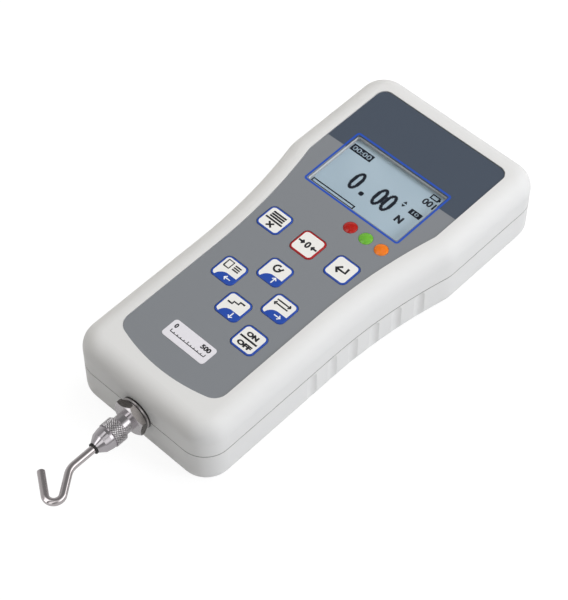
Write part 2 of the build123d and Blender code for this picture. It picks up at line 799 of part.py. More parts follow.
with BuildPart() as load_cell:
    # seen from the face: two saw cuts make the S, two joined eyes leave the gauge webs
    slot_y = block_middle_y + cell_block_length / 2 - cell_bar - cell_slot / 2
    slot_length = cell_block_width - cell_leg
    with BuildSketch(Plane.XY.offset(block_bottom_z)):
        with Locations((0, block_middle_y)):
            Rectangle(cell_block_width, cell_block_length)
            Rectangle(cell_eye_spread, cell_slot, mode=Mode.SUBTRACT)
            with Locations((-cell_eye_spread / 2, 0), (cell_eye_spread / 2, 0)):
                Circle(eye_radius, mode=Mode.SUBTRACT)
        with Locations((cell_leg / 2, slot_y), (-cell_leg / 2, 2 * block_middle_y - slot_y)):
            Rectangle(slot_length, cell_slot, mode=Mode.SUBTRACT)
    extrude(amount=cell_block_height)
    with Locations(*[(x, y, block_bottom_z + cell_block_height) for x, y in cell_screw_places]):
        CounterBoreHole(cell_screw_diameter / 2 + screw_clearance, cell_screw_head / 2 + screw_clearance,
                        cell_screw_head_height)
    with BuildSketch(Plane.XZ.offset(-block_front_y)):
        with Locations((0, axis_z)):
            Circle(spindle_root_diameter / 2 + thread_clearance)
    extrude(amount=-spindle_root_length, mode=Mode.SUBTRACT)
load_cell.part.label = "load_cell"
export_step(load_cell.part, "parts/load_cell.step")

with BuildPart() as load_cell_screws:
    head_seat_z = block_bottom_z + cell_block_height - cell_screw_head_height
    with BuildSketch(Plane.XY.offset(head_seat_z)):
        with Locations(*cell_screw_places):
            Circle(cell_screw_head / 2)
    extrude(amount=cell_screw_head_height)
    with BuildSketch(Plane.XY.offset(block_bottom_z - cell_screw_bite)):
        with Locations(*cell_screw_places):
            Circle(cell_screw_diameter / 2)
    extrude(amount=head_seat_z - block_bottom_z + cell_screw_bite)
load_cell_screws.part.label = "load_cell_screws"
export_step(load_cell_screws.part, "parts/load_cell_screws.step")

# ---------------------------------------------------------------- measuring spindle

spindle_axis = Axis((0, 0, axis_z), (0, 1, 0))
spindle_plane = Plane.XY.offset(axis_z)


def out(distance):
    """Y of a point that stands this far out from the front face along the spindle."""
    return front_end - distance


with BuildPart() as measuring_spindle:
    root_r = spindle_root_diameter / 2
    flange_r = spindle_flange_diameter / 2
    shaft_r = spindle_diameter / 2
    thread_r = spindle_thread_diameter / 2
    thread_end_y = out(spindle_shoulder + spindle_thread_length)
    with BuildSketch(spindle_plane):
        with BuildLine():
            Polyline(
                (0, block_front_y + spindle_root_length),
                (root_r, block_front_y + spindle_root_length),
                (root_r, block_front_y),
                (flange_r, block_front_y),
                (flange_r, block_front_y - spindle_flange_thickness),
                (shaft_r, block_front_y - spindle_flange_thickness),
                (shaft_r, out(spindle_shoulder)),
                (thread_r, out(spindle_shoulder)),
                (thread_r, thread_end_y + spindle_edge),
                (thread_r - spindle_edge, thread_end_y),
                (0, thread_end_y),
                close=True,
            )
        make_face()
    revolve(axis=spindle_axis)
measuring_spindle.part.label = "measuring_spindle"
export_step(measuring_spindle.part, "parts/measuring_spindle.step")

with BuildPart() as dust_ring:
    # a flange on each side of the front wall, joined through it by the neck
    with BuildSketch(spindle_plane):
        with Locations((ring_neck_diameter / 4, out(-wall / 2))):
            Rectangle(ring_neck_diameter / 2, wall)
        for face_y, outwards in ((front_end, -1), (front_end + wall, 1)):
            with Locations((ring_flange_diameter / 4, face_y + outwards * ring_flange_thickness / 2)):
                Rectangle(ring_flange_diameter / 2, ring_flange_thickness)
        with Locations((ring_bore_diameter / 4, out(-wall / 2))):
            Rectangle(ring_bore_diameter / 2, wall + 2 * ring_flange_thickness, mode=Mode.SUBTRACT)
    revolve(axis=spindle_axis)
    chamfer(dust_ring.faces().sort_by(Axis.Y)[0].edges().sort_by(SortBy.LENGTH)[-1], ring_edge)
dust_ring.part.label = "dust_ring"
export_step(dust_ring.part, "parts/dust_ring.step")

with BuildPart() as spindle_nut:
    nut_back_y = out(ring_flange_thickness + nut_gap)
    nut_front_y = nut_back_y - nut_thickness
    nut_corner_r = nut_across_flats / math.sqrt(3)
    with BuildSketch(Plane.XZ.offset(-nut_back_y)):
        with Locations((0, axis_z)):
            RegularPolygon(nut_corner_r, 6, rotation=nut_turn)
            Circle(spindle_diameter / 2, mode=Mode.SUBTRACT)
    extrude(amount=nut_thickness)
    # the corners are turned down at both ends
    with BuildSketch(spindle_plane):
        with BuildLine():
            Polyline(
                (0, nut_back_y),
                (nut_across_flats / 2, nut_back_y),
                (nut_corner_r, nut_back_y - nut_chamfer),
                (nut_corner_r, nut_front_y + nut_chamfer),
                (nut_across_flats / 2, nut_front_y),
                (0, nut_front_y),
                close=True,
            )
        make_face()
    revolve(axis=spindle_axis, mode=Mode.INTERSECT)
spindle_nut.part.label = "spindle_nut"
export_step(spindle_nut.part, "parts/spindle_nut.step")

# ---------------------------------------------------------------- adapter and hook

knurl_end = spindle_shoulder + adapter_knurl_length
adapter_ring_start = knurl_end + adapter_groove_width
adapter_ring_end = adapter_ring_start + adapter_ring_length
nose_start = adapter_ring_end + adapter_taper_length
nose_end = nose_start + adapter_nose_length
pocket_start = spindle_shoulder + adapter_thread_depth
pocket_end = pocket_start + adapter_pocket_length

with BuildPart() as adapter:
    adapter_r = adapter_diameter / 2
    ring_r = adapter_ring_diameter / 2
    hole_r = hook_wire / 2 + swivel_fit
    adapter_start = spindle_shoulder + adapter_seat_gap
    with BuildSketch(spindle_plane):
        with BuildLine():
            Polyline(
                (spindle_thread_diameter / 2 + thread_fit, out(adapter_start)),
                (adapter_r - adapter_edge, out(adapter_start)),
                (adapter_r, out(adapter_start + adapter_edge)),
                (adapter_r, out(knurl_end)),
                (adapter_r - adapter_groove_depth, out(knurl_end)),
                (adapter_r - adapter_groove_depth, out(adapter_ring_start)),
                (ring_r, out(adapter_ring_start)),
                (ring_r, out(adapter_ring_end)),
                (adapter_taper_diameter / 2, out(nose_start)),
                (adapter_nose_diameter / 2, out(nose_end)),
                (hole_r, out(nose_end)),
                (hole_r, out(pocket_end)),
                (adapter_pocket_diameter / 2, out(pocket_end)),
                (adapter_pocket_diameter / 2, out(pocket_start)),
                (spindle_thread_diameter / 2 + thread_fit, out(pocket_start)),
                close=True,
            )
        make_face()
    revolve(axis=spindle_axis)
adapter.part.label = "adapter"
export_step(adapter.part, "parts/adapter.step")

with BuildPart() as tip_ring:
    with BuildSketch(Plane.XZ.offset(-out(nose_end))):
        with Locations((0, axis_z)):
            Circle(tip_ring_diameter / 2)
            Circle(hook_wire / 2 + swivel_fit, mode=Mode.SUBTRACT)
    extrude(amount=tip_ring_thickness)
tip_ring.part.label = "tip_ring"
export_step(tip_ring.part, "parts/tip_ring.step")

with BuildPart() as hook:
    head_front_y = out(pocket_end - hook_head_play)
    head_back_y = head_front_y + hook_head_length
    first_bend_y = out(nose_end + tip_ring_thickness + hook_straight)
    # one length of wire: out from the adapter, off to one side, round the bow and back across
    with BuildLine(spindle_plane) as route:
        shank = Line((0, head_front_y), (0, first_bend_y))
        bend = JernArc(shank @ 1, shank % 1, hook_bend_radius, hook_bend_angle)
        arm = Line(bend @ 1, bend @ 1 + hook_arm * (bend % 1))
        bow = JernArc(arm @ 1, arm % 1, hook_bow_radius, -hook_bow_angle)
        Line(bow @ 1, bow @ 1 + hook_tip * (bow % 1))
    with BuildSketch(Plane.XZ.offset(-head_front_y)):
        with Locations((0, axis_z)):
            Circle(hook_wire / 2)
    sweep(path=route.wires()[0])
    tip_face = hook.faces().filter_by(GeomType.PLANE).sort_by(Axis.Y)[0]
    fillet(tip_face.edges(), hook_tip_edge)
    with BuildSketch(Plane.XZ.offset(-head_back_y)):
        with Locations((0, axis_z)):
            Circle(hook_head_diameter / 2)
    extrude(amount=hook_head_length)
hook.part.label = "hook"
export_step(hook.part, "parts/hook.step")

# ---------------------------------------------------------------- fasteners and inserts

with BuildPart() as case_screws:
    with BuildSketch(Plane.XY.offset(case_screw_sink)):
        with Locations(*case_screw_places()):
            Circle(case_screw_head / 2)
    extrude(amount=-case_screw_head_height)
    with BuildSketch(Plane.XY.offset(case_screw_sink)):
        with Locations(*case_screw_places()):
            Circle(case_screw_diameter / 2)
    extrude(amount=seam_z + case_screw_bite - case_screw_sink)
    with BuildSketch(Plane.XY.offset(case_screw_sink - case_screw_head_height)):
        with Locations(*case_screw_places()):
            RegularPolygon(case_screw_socket / 2, 6, major_radius=False)
    extrude(amount=case_screw_head_height / 2, mode=Mode.SUBTRACT)
case_screws.part.label = "case_screws"
export_step(case_screws.part, "parts/case_screws.step")

with BuildPart() as thread_inserts:
    with BuildSketch():
        with Locations(*insert_places):
            Circle(insert_diameter / 2)
            Circle(insert_bore / 2, mode=Mode.SUBTRACT)
    extrude(amount=insert_length)
thread_inserts.part.label = "thread_inserts"
export_step(thread_inserts.part, "parts/thread_inserts.step")
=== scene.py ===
# %% [markdown]
# # A hand-held force gauge, dressed for the studio
#
# The solids of the gauge are already made and packed as a fixed frame. This lesson gives each of them the
# surface that the real piece has, adds the printing, the display's marks and the knurling, and sets up a
# plain studio round it. Every length is in metres in Blender, so sizes are written in millimetres and
# turned once.

# %% Load the frame
import math

import bpy
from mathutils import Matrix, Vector


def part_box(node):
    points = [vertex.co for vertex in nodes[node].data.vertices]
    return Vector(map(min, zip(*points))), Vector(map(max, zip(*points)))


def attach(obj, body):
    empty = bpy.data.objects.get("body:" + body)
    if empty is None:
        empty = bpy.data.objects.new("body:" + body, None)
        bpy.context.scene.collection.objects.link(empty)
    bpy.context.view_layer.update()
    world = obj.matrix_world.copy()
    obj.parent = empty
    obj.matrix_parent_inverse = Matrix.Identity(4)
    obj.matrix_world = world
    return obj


MM = 0.001

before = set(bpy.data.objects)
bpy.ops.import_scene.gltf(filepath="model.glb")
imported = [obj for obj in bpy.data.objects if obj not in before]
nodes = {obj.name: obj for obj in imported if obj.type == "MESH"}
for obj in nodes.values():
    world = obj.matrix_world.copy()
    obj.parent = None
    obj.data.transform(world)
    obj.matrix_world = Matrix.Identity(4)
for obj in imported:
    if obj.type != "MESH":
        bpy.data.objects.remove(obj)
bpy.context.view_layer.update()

# %% [markdown]
# ## Camera
#
# The gauge is seen from above its hook end, over its right side. A long lens from about 0.65 m keeps the two
# long sides nearly parallel. The camera stays level, so it only needs a place and a point to look at.

# %% Camera
camera_place = Vector((278.9, -304.9, 550.7)) * MM
camera_aim = Vector((10.22, -21.87, 28.9)) * MM
camera_lens = 119.0

bpy.ops.object.camera_add(location=camera_place)
camera = bpy.context.object
camera.rotation_mode = "QUATERNION"
camera.rotation_quaternion = (camera_aim - camera_place).to_track_quat("-Z", "Y")
camera.data.lens = camera_lens
camera.data.sensor_width = 36.0
bpy.context.scene.camera = camera
print("camera to face:", round((camera_place - camera_aim).length, 3), "m")


# %% [markdown]
# ## Helpers for materials
#
# Colours are picked as sRGB hex values, the way paint cards give them, but Cycles works in linear light,
# so one function turns them. A second function adds one node, sets it up and links it. Patterns get their
# scale from a real size: a noise of scale 1000 has blotches of about 1 mm.

# %% Helpers for materials
def paint(hex_colour):
    """An sRGB hex colour as linear red, green, blue and alpha."""
    channels = [int(hex_colour[i:i + 2], 16) / 255 for i in (1, 3, 5)]
    linear = [c / 12.92 if c <= 0.04045 else ((c + 0.055) / 1.055) ** 2.4 for c in channels]
    return (*linear, 1.0)


def scale_for(size_mm):
    """The Scale of a texture node whose features are to be about this many millimetres across."""
    return 1.0 / (size_mm * MM)


# a Mix node has a set of sockets for each kind of data; these are the ones it uses for colour
COLOUR_FACTOR, COLOUR_A, COLOUR_B, COLOUR_OUT = 0, 6, 7, 2


def add_node(tree, kind, inputs=None, **settings):
    """Adds a node. An input is given a value, or a socket to be linked to."""
    made = tree.nodes.new(kind)
    for name, value in settings.items():
        setattr(made, name, value)
    for key, value in (inputs or {}).items():
        if isinstance(value, bpy.types.NodeSocket):
            tree.links.new(value, made.inputs[key])
        else:
            made.inputs[key].default_value = value
    return made


def new_finish(name, colour, roughness, metallic=0.0):
    """A material with one Principled shader, and the position on the object to hang patterns on."""
    finish = bpy.data.materials.new(name)
    finish.use_nodes = True
    tree = finish.node_tree
    shader = tree.nodes["Principled BSDF"]
    shader.inputs["Base Color"].default_value = paint(colour)
    shader.inputs["Roughness"].default_value = roughness
    shader.inputs["Metallic"].default_value = metallic
    position = add_node(tree, "ShaderNodeTexCoord").outputs["Object"]
    return finish, tree, shader, position


def wear_finish(node_names, finish):
    """Puts one finish on whole CAD nodes."""
    for node_name in node_names:
        for slot in nodes[node_name].material_slots:
            slot.material = finish
    print(finish.name, "on", len(node_names), "pieces")


# %% [markdown]
# ## Housing paint
#
# The two shells are die-cast aluminium with a light grey two-pack paint. Sprayed paint never dries quite
# flat: it keeps a faint orange peel about a millimetre across, which only shows as a slight
# waver in the highlights. The roughness wanders a little too, where hands have polished the paint.
# Where the shells meet, a hair line of paint is darkened: painted shade of the gap, with some grime.

# %% Housing paint
shell_grey = "#DFDEDC"
housing_paint, tree, shader, position = new_finish("light grey satin paint", shell_grey, 0.42)
peel = add_node(tree, "ShaderNodeTexNoise",
                {"Vector": position, "Scale": scale_for(1.1), "Detail": 2.0, "Roughness": 0.45})
peel_bump = add_node(tree, "ShaderNodeBump",
                     {"Height": peel.outputs["Fac"], "Strength": 0.12, "Distance": 0.02 * MM})
tree.links.new(peel_bump.outputs["Normal"], shader.inputs["Normal"])
handling = add_node(tree, "ShaderNodeTexNoise",
                    {"Vector": position, "Scale": scale_for(35.0), "Detail": 3.0})
polish = add_node(tree, "ShaderNodeMapRange",
                  {"Value": handling.outputs["Fac"], "To Min": 0.37, "To Max": 0.48})
tree.links.new(polish.outputs["Result"], shader.inputs["Roughness"])
parting_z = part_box("upper_shell")[0].z
parting_line = 0.13
level = add_node(tree, "ShaderNodeSeparateXYZ", {"Vector": position})
# a hair line at the parting is darkened: painted shade of the gap between the shells, with some grime
in_joint = add_node(tree, "ShaderNodeMath",
                    {0: level.outputs["Z"], 1: parting_z, 2: parting_line * MM}, operation="COMPARE")
joint_painted_shade_and_grime = add_node(tree, "ShaderNodeMix",
                      {COLOUR_FACTOR: in_joint.outputs["Value"], COLOUR_A: paint(shell_grey),
                       COLOUR_B: paint("#8C8B88")}, data_type="RGBA")
tree.links.new(joint_painted_shade_and_grime.outputs[COLOUR_OUT], shader.inputs["Base Color"])
wear_finish(["upper_shell", "lower_shell"], housing_paint)
print("shells part at", round(parting_z / MM, 2), "mm")

# %% [markdown]
# ## Keypad film
#
# The overlay is polyester film, printed on its back in two greys and given a fine matt texture on its
# front. The dark band covers the display end, down to a straight edge a quarter of the way down the
# window. Printing is colour without thickness, so the band is made in the material: the position's Y
# picks one ink or the other.

# %% Keypad film
band_edge_y = 42.4
band_slope = 0.0225
film_grey = "#7F8286"
film_slate = "#424B58"

overlay_film, tree, shader, position = new_finish("matt printed polyester film", film_grey, 0.5)
along = add_node(tree, "ShaderNodeSeparateXYZ", {"Vector": position})
edge_here = add_node(tree, "ShaderNodeMath",
                     {0: along.outputs["X"], 1: band_slope, 2: band_edge_y * MM}, operation="MULTIPLY_ADD")
past_edge = add_node(tree, "ShaderNodeMath", {0: along.outputs["Y"], 1: edge_here.outputs["Value"]},
                     operation="GREATER_THAN")
inks = add_node(tree, "ShaderNodeMix",
                {COLOUR_FACTOR: past_edge.outputs["Value"], COLOUR_A: paint(film_grey),
                 COLOUR_B: paint(film_slate)}, data_type="RGBA")
film_grain = add_node(tree, "ShaderNodeTexNoise",
                      {"Vector": position, "Scale": scale_for(0.25), "Detail": 3.0})
film_bump = add_node(tree, "ShaderNodeBump",
                     {"Height": film_grain.outputs["Fac"], "Strength": 0.2, "Distance": 0.01 * MM})
tree.links.new(inks.outputs[COLOUR_OUT], shader.inputs["Base Color"])
tree.links.new(film_bump.outputs["Normal"], shader.inputs["Normal"])
wear_finish(["keypad_overlay"], overlay_film)

# %% [markdown]
# ## Key caps
#
# Each key is a pale moulded cap with its outline and its swoosh printed in blue, or in red on the zero key.
# The printing follows the cap's own rounded square, so the material measures how far a point is inside
# that square: first its place from the key's centre, folded into one quarter, then the distance to the
# rounded edge. Ink goes where that distance is less than the line's width.

# %% Key caps
key_half = 4.95
key_corner = 2.0
key_line = 0.68
swoosh_left = -2.9
swoosh_top = -1.3
swoosh_round = 3.5
cap_white = "#EDEBE6"
ink_blue = "#1B47A6"
ink_red = "#A80F16"


def rounded_edge_distance(tree, position, centre, half, corner):
    """Distance in metres from a rounded square or oblong round centre, below zero inside it."""
    place = add_node(tree, "ShaderNodeVectorMath", {0: position, 1: centre}, operation="SUBTRACT")
    folded = add_node(tree, "ShaderNodeVectorMath", {0: place.outputs["Vector"]}, operation="ABSOLUTE")
    straight = (half[0] - corner, half[1] - corner, 1.0)
    beyond = add_node(tree, "ShaderNodeVectorMath", {0: folded.outputs["Vector"], 1: straight},
                      operation="SUBTRACT")
    outside = add_node(tree, "ShaderNodeVectorMath", {0: beyond.outputs["Vector"], 1: (0.0, 0.0, 0.0)},
                       operation="MAXIMUM")
    reach = add_node(tree, "ShaderNodeVectorMath", {0: outside.outputs["Vector"]}, operation="LENGTH")
    parts = add_node(tree, "ShaderNodeSeparateXYZ", {"Vector": beyond.outputs["Vector"]})
    deeper = add_node(tree, "ShaderNodeMath", {0: parts.outputs["X"], 1: parts.outputs["Y"]},
                      operation="MAXIMUM")
    inside = add_node(tree, "ShaderNodeMath", {0: deeper.outputs["Value"], 1: 0.0}, operation="MINIMUM")
    total = add_node(tree, "ShaderNodeMath", {0: reach.outputs["Value"], 1: inside.outputs["Value"]},
                     operation="ADD")
    return add_node(tree, "ShaderNodeMath", {0: total.outputs["Value"], 1: corner},
                    operation="SUBTRACT").outputs["Value"]


def key_finish(node_name, ink, swoosh):
    """The printed cap of one key."""
    low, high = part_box(node_name)
    centre = (low + high) / 2
    centre.z = 0.0
    finish, tree, shader, position = new_finish("printed cap " + node_name, cap_white, 0.38)
    half = (key_half * MM, key_half * MM)
    edge = rounded_edge_distance(tree, position, centre, half, key_corner * MM)
    printed = add_node(tree, "ShaderNodeMath", {0: edge, 1: -key_line * MM}, operation="GREATER_THAN")
    mask = printed.outputs["Value"]
    if swoosh:
        # the swoosh is the upper left corner of a large oblong that runs off the cap
        reach = 10.0
        corner = swoosh_round * MM
        oblong = centre + Vector((swoosh_left + reach, swoosh_top - reach, 0.0)) * MM
        inside = rounded_edge_distance(tree, position, oblong, (reach * MM, reach * MM), corner)
        filled = add_node(tree, "ShaderNodeMath", {0: inside, 1: 0.0}, operation="LESS_THAN")
        mask = add_node(tree, "ShaderNodeMath", {0: mask, 1: filled.outputs["Value"]},
                        operation="MAXIMUM").outputs["Value"]
    inks = add_node(tree, "ShaderNodeMix",
                    {COLOUR_FACTOR: mask, COLOUR_A: paint(cap_white), COLOUR_B: paint(ink)}, data_type="RGBA")
    texture = add_node(tree, "ShaderNodeTexNoise",
                       {"Vector": position, "Scale": scale_for(0.3), "Detail": 2.0})
    bump = add_node(tree, "ShaderNodeBump",
                    {"Height": texture.outputs["Fac"], "Strength": 0.15, "Distance": 0.01 * MM})
    tree.links.new(inks.outputs[COLOUR_OUT], shader.inputs["Base Color"])
    tree.links.new(bump.outputs["Normal"], shader.inputs["Normal"])
    wear_finish([node_name], finish)


for node_name in ("menu_key", "enter_key", "power_key"):
    key_finish(node_name, ink_blue, swoosh=False)
for node_name in ("reset_key", "print_key", "units_key", "mode_key"):
    key_finish(node_name, ink_blue, swoosh=True)
key_finish("zero_key", ink_red, swoosh=False)

# %% [markdown]
# ## Lamps
#
# The status lamps are epoxy lenses tinted red, green and orange. Tinted epoxy is clear below its gloss, so
# it looks deeper than paint: light goes in and comes back coloured. Subsurface scattering over a
# millimetre or two gives that, under a hard clear surface.

# %% Lamps
for node_name, tint in (("light_red", "#B01408"), ("light_green", "#6DB534"), ("light_orange", "#EE7C14")):
    lens, tree, shader, position = new_finish("tinted epoxy " + node_name, tint, 0.18)
    shader.inputs["Subsurface Weight"].default_value = 0.35
    shader.inputs["Subsurface Radius"].default_value = (1.0, 0.6, 0.4)
    shader.inputs["Subsurface Scale"].default_value = 1.5 * MM
    shader.inputs["IOR"].default_value = 1.5
    flow = add_node(tree, "ShaderNodeTexNoise", {"Vector": position, "Scale": scale_for(1.6), "Detail": 1.0})
    ripple = add_node(tree, "ShaderNodeBump",
                      {"Height": flow.outputs["Fac"], "Strength": 0.5, "Distance": 0.08 * MM})
    tree.links.new(ripple.outputs["Normal"], shader.inputs["Normal"])
    wear_finish([node_name], lens)

# %% [markdown]
# ## Display
#
# A liquid crystal panel under a clear acrylic pane. The panel is a pale blue-grey with a slow drift in
# tone. The pane would darken it if light had to be traced through it as glass, so the pane is mostly
# see-through, with a thin share of gloss on top and none of the milkiness that a pale pane would add.

# %% Display
panel, tree, shader, position = new_finish("liquid crystal panel", "#C9DEEC", 0.35)
drift = add_node(tree, "ShaderNodeTexNoise", {"Vector": position, "Scale": scale_for(25.0), "Detail": 1.0})
tone = add_node(tree, "ShaderNodeValToRGB", {"Fac": drift.outputs["Fac"]})
tone.color_ramp.elements[0].position = 0.3
tone.color_ramp.elements[0].color = paint("#C2D8E6")
tone.color_ramp.elements[1].position = 0.7
tone.color_ramp.elements[1].color = paint("#D0E5F2")
tree.links.new(tone.outputs["Color"], shader.inputs["Base Color"])
wear_finish(["lcd_panel"], panel)

pane, tree, shader, position = new_finish("clear acrylic pane", "#39424A", 0.06)
shader.inputs["Alpha"].default_value = 0.12
shader.inputs["IOR"].default_value = 1.49
scuffs = add_node(tree, "ShaderNodeTexNoise", {"Vector": position, "Scale": scale_for(8.0), "Detail": 4.0})
haze = add_node(tree, "ShaderNodeMapRange",
                {"Value": scuffs.outputs["Fac"], "To Min": 0.04, "To Max": 0.10})
tree.links.new(haze.outputs["Result"], shader.inputs["Roughness"])
wear_finish(["display_window"], pane)

# %% [markdown]
# ## Metals
#
# The spindle is turned stainless steel, the nut and adapter are nickel-plated, and the hook is bent steel
# wire. Turning leaves rings a few hundredths of a millimetre apart. Rings that fine can't be drawn, so
# they are drawn half a millimetre apart along the spindle's own direction, and two on the drawn wire,
# mostly as a change in roughness, which breaks the highlights into bands without making them glitter.

# %% Metals
def metal_finish(name, colour, roughness, ring_mm=0.5, depth_mm=0.002):
    """A bright metal with fine rings along the spindle's direction."""
    finish, tree, shader, position = new_finish(name, colour, roughness, metallic=1.0)
    rings = add_node(tree, "ShaderNodeTexWave",
                     {"Vector": position, "Scale": scale_for(ring_mm) / 20.0, "Distortion": 1.5,
                      "Detail": 2.0}, wave_type="BANDS", bands_direction="Y")
    bump = add_node(tree, "ShaderNodeBump",
                    {"Height": rings.outputs["Fac"], "Strength": 0.1, "Distance": depth_mm * MM})
    spread = add_node(tree, "ShaderNodeMapRange",
                      {"Value": rings.outputs["Fac"], "To Min": roughness * 0.85, "To Max": roughness * 1.25})
    tree.links.new(bump.outputs["Normal"], shader.inputs["Normal"])
    tree.links.new(spread.outputs["Result"], shader.inputs["Roughness"])
    return finish


turned_steel = metal_finish("turned stainless steel", "#CBC7CA", 0.16)
nickel_plate = metal_finish("bright nickel plate", "#CBC6CA", 0.17)
hook_wire = metal_finish("drawn steel wire", "#D8D1D2", 0.14, ring_mm=2.0, depth_mm=0.001)
wear_finish(["measuring_spindle"], turned_steel)
wear_finish(["adapter"], nickel_plate)
wear_finish(["hook"], hook_wire)

# %% [markdown]
# ## Hexagon nut
#
# The nut is cut from drawn hexagon bar, one metal all over. Its flats are coloured dark and its faces and
# chamfers bright: painted reflection, dark on the flats, and a painted highlight on the faces and chamfers.
# The flats are the faces that look straight away from the spindle, so the normal's share along Y tells the
# two apart.

# %% Hexagon nut
nut_flats_painted_dark = "#74706E"
bright_face_share = 0.2
nut_finish, tree, shader, position = new_finish("nickel nut, painted dark flats and bright faces", nut_flats_painted_dark, 0.27,
                                                metallic=1.0)
facing = add_node(tree, "ShaderNodeSeparateXYZ", {"Vector": position.node.outputs["Normal"]})
along = add_node(tree, "ShaderNodeMath", {0: facing.outputs["Y"]}, operation="ABSOLUTE")
turned = add_node(tree, "ShaderNodeMath", {0: along.outputs["Value"], 1: bright_face_share},
                  operation="GREATER_THAN")
# dark flats and bright faces and chamfers on one metal: painted reflection and painted highlight
tones = add_node(tree, "ShaderNodeMix",
                 {COLOUR_FACTOR: turned.outputs["Value"], COLOUR_A: paint(nut_flats_painted_dark),
                  COLOUR_B: paint("#CDC9CB")}, data_type="RGBA")
drawn = add_node(tree, "ShaderNodeTexNoise", {"Vector": position, "Scale": scale_for(0.8), "Detail": 2.0})
spread = add_node(tree, "ShaderNodeMapRange",
                  {"Value": drawn.outputs["Fac"], "To Min": 0.25, "To Max": 0.31})
tree.links.new(tones.outputs[COLOUR_OUT], shader.inputs["Base Color"])
tree.links.new(spread.outputs["Result"], shader.inputs["Roughness"])
wear_finish(["spindle_nut"], nut_finish)

# %% [markdown]
# ## Rubber, label and the plain inner pieces
#
# The small ring at the adapter's nose is black rubber, with the dry, slightly mottled skin of moulded
# nitrile. The dust ring is a bonded seal, rubber with a steel face. The range label is satin foil. The
# pieces behind the sockets and inside the housing get the plain finish of the real thing.

# %% Rubber, label and inner pieces
def mottled_finish(name, light, dark, roughness, grain_mm, depth_mm=0.01, metallic=0.0):
    """A finish whose colour drifts between two tones in grains of a real size, with a matching bump."""
    finish, tree, shader, position = new_finish(name, light, roughness, metallic)
    grain = add_node(tree, "ShaderNodeTexNoise",
                     {"Vector": position, "Scale": scale_for(grain_mm), "Detail": 3.0})
    tones = add_node(tree, "ShaderNodeMix",
                     {COLOUR_FACTOR: grain.outputs["Fac"], COLOUR_A: paint(dark), COLOUR_B: paint(light)},
                     data_type="RGBA")
    bump = add_node(tree, "ShaderNodeBump",
                    {"Height": grain.outputs["Fac"], "Strength": 0.3, "Distance": depth_mm * MM})
    tree.links.new(tones.outputs[COLOUR_OUT], shader.inputs["Base Color"])
    tree.links.new(bump.outputs["Normal"], shader.inputs["Normal"])
    return finish


rubber = mottled_finish("moulded nitrile rubber", "#191818", "#0C0C0C", 0.55, 0.4)
wear_finish(["tip_ring"], rubber)

# the dust ring is a bonded seal: rubber against the housing, faced with steel towards the nut
seal_black = "#141414"
seal_face_thick = 0.55
seal_face_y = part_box("dust_ring")[0].y + seal_face_thick * MM
bonded_seal, tree, shader, position = new_finish("rubber bonded to a steel face", seal_black, 0.5)
along = add_node(tree, "ShaderNodeSeparateXYZ", {"Vector": position})
on_steel = add_node(tree, "ShaderNodeMath", {0: along.outputs["Y"], 1: seal_face_y}, operation="LESS_THAN")
tones = add_node(tree, "ShaderNodeMix",
                 {COLOUR_FACTOR: on_steel.outputs["Value"], COLOUR_A: paint(seal_black),
                  COLOUR_B: paint("#A9A5A4")}, data_type="RGBA")
gloss = add_node(tree, "ShaderNodeMapRange",
                 {"Value": on_steel.outputs["Value"], "To Min": 0.55, "To Max": 0.3})
tree.links.new(tones.outputs[COLOUR_OUT], shader.inputs["Base Color"])
tree.links.new(gloss.outputs["Result"], shader.inputs["Roughness"])
tree.links.new(on_steel.outputs["Value"], shader.inputs["Metallic"])
wear_finish(["dust_ring"], bonded_seal)
wear_finish(["range_label"], mottled_finish("satin foil label", "#E9E6EA", "#E1DEE3", 0.35, 0.5, 0.004))
wear_finish(["thread_inserts"], mottled_finish("turned brass", "#C8A664", "#B8954F", 0.3, 0.5, 0.005, 1.0))
wear_finish(["case_screws", "board_screws", "load_cell_screws"],
            mottled_finish("zinc-plated steel", "#B4B6B8", "#A2A4A7", 0.35, 0.8, 0.005, 1.0))
wear_finish(["usb_socket", "power_pin", "battery_tabs"],
            mottled_finish("tinned steel", "#C6C7C8", "#B4B5B7", 0.3, 1.0, 0.004, 1.0))
wear_finish(["power_socket", "key_switches", "processor_chip", "buzzer", "battery_cradle", "lcd_bezel"],
            mottled_finish("black moulded nylon", "#1E1F20", "#161717", 0.5, 0.3))
wear_finish(["main_board"], mottled_finish("green solder mask", "#1C5A36", "#17492C", 0.35, 0.6))
wear_finish(["backlight"], mottled_finish("opal diffuser", "#F2F3F0", "#E8E9E6", 0.5, 0.8))
wear_finish(["battery_cells"], mottled_finish("shrink jacket", "#2E7040", "#276238", 0.3, 2.0))
wear_finish(["load_cell"], mottled_finish("machined aluminium", "#CDCFD1", "#BFC1C4", 0.35, 0.3, 0.006, 1.0))

# %% [markdown]
# ## Printing
#
# The marks on the keys are screen printed: an ink film about 0.02 mm thick. A texture could carry
# them, but then it would need an image. Here each mark is a text object or a small plane made into a
# mesh, stretched to the size it has on the key, and given the film's thickness. It rides on its
# key, so it goes down when the key is pressed.

# %% Inks
ink_film = 0.02


def ink_finish(name, colour, roughness=0.45):
    """Screen ink, with the slight unevenness of the mesh it was pressed through."""
    finish, tree, shader, position = new_finish(name, colour, roughness)
    mesh_marks = add_node(tree, "ShaderNodeTexNoise",
                          {"Vector": position, "Scale": scale_for(0.2), "Detail": 2.0})
    bump = add_node(tree, "ShaderNodeBump",
                    {"Height": mesh_marks.outputs["Fac"], "Strength": 0.2, "Distance": 0.005 * MM})
    tree.links.new(bump.outputs["Normal"], shader.inputs["Normal"])
    return finish


black_ink = ink_finish("black screen ink", "#15161A")
white_ink = ink_finish("white screen ink", "#F2F3F4")
blue_ink = ink_finish("blue screen ink", "#1C4DB4", 0.35)
print("ink film, mm:", ink_film)


# %% Printed text and printed bars
def select_only(*pieces):
    """Deselects everything, then selects these, the last one active."""
    bpy.ops.object.select_all(action="DESELECT")
    for piece in pieces:
        piece.select_set(True)
        bpy.context.view_layer.objects.active = piece


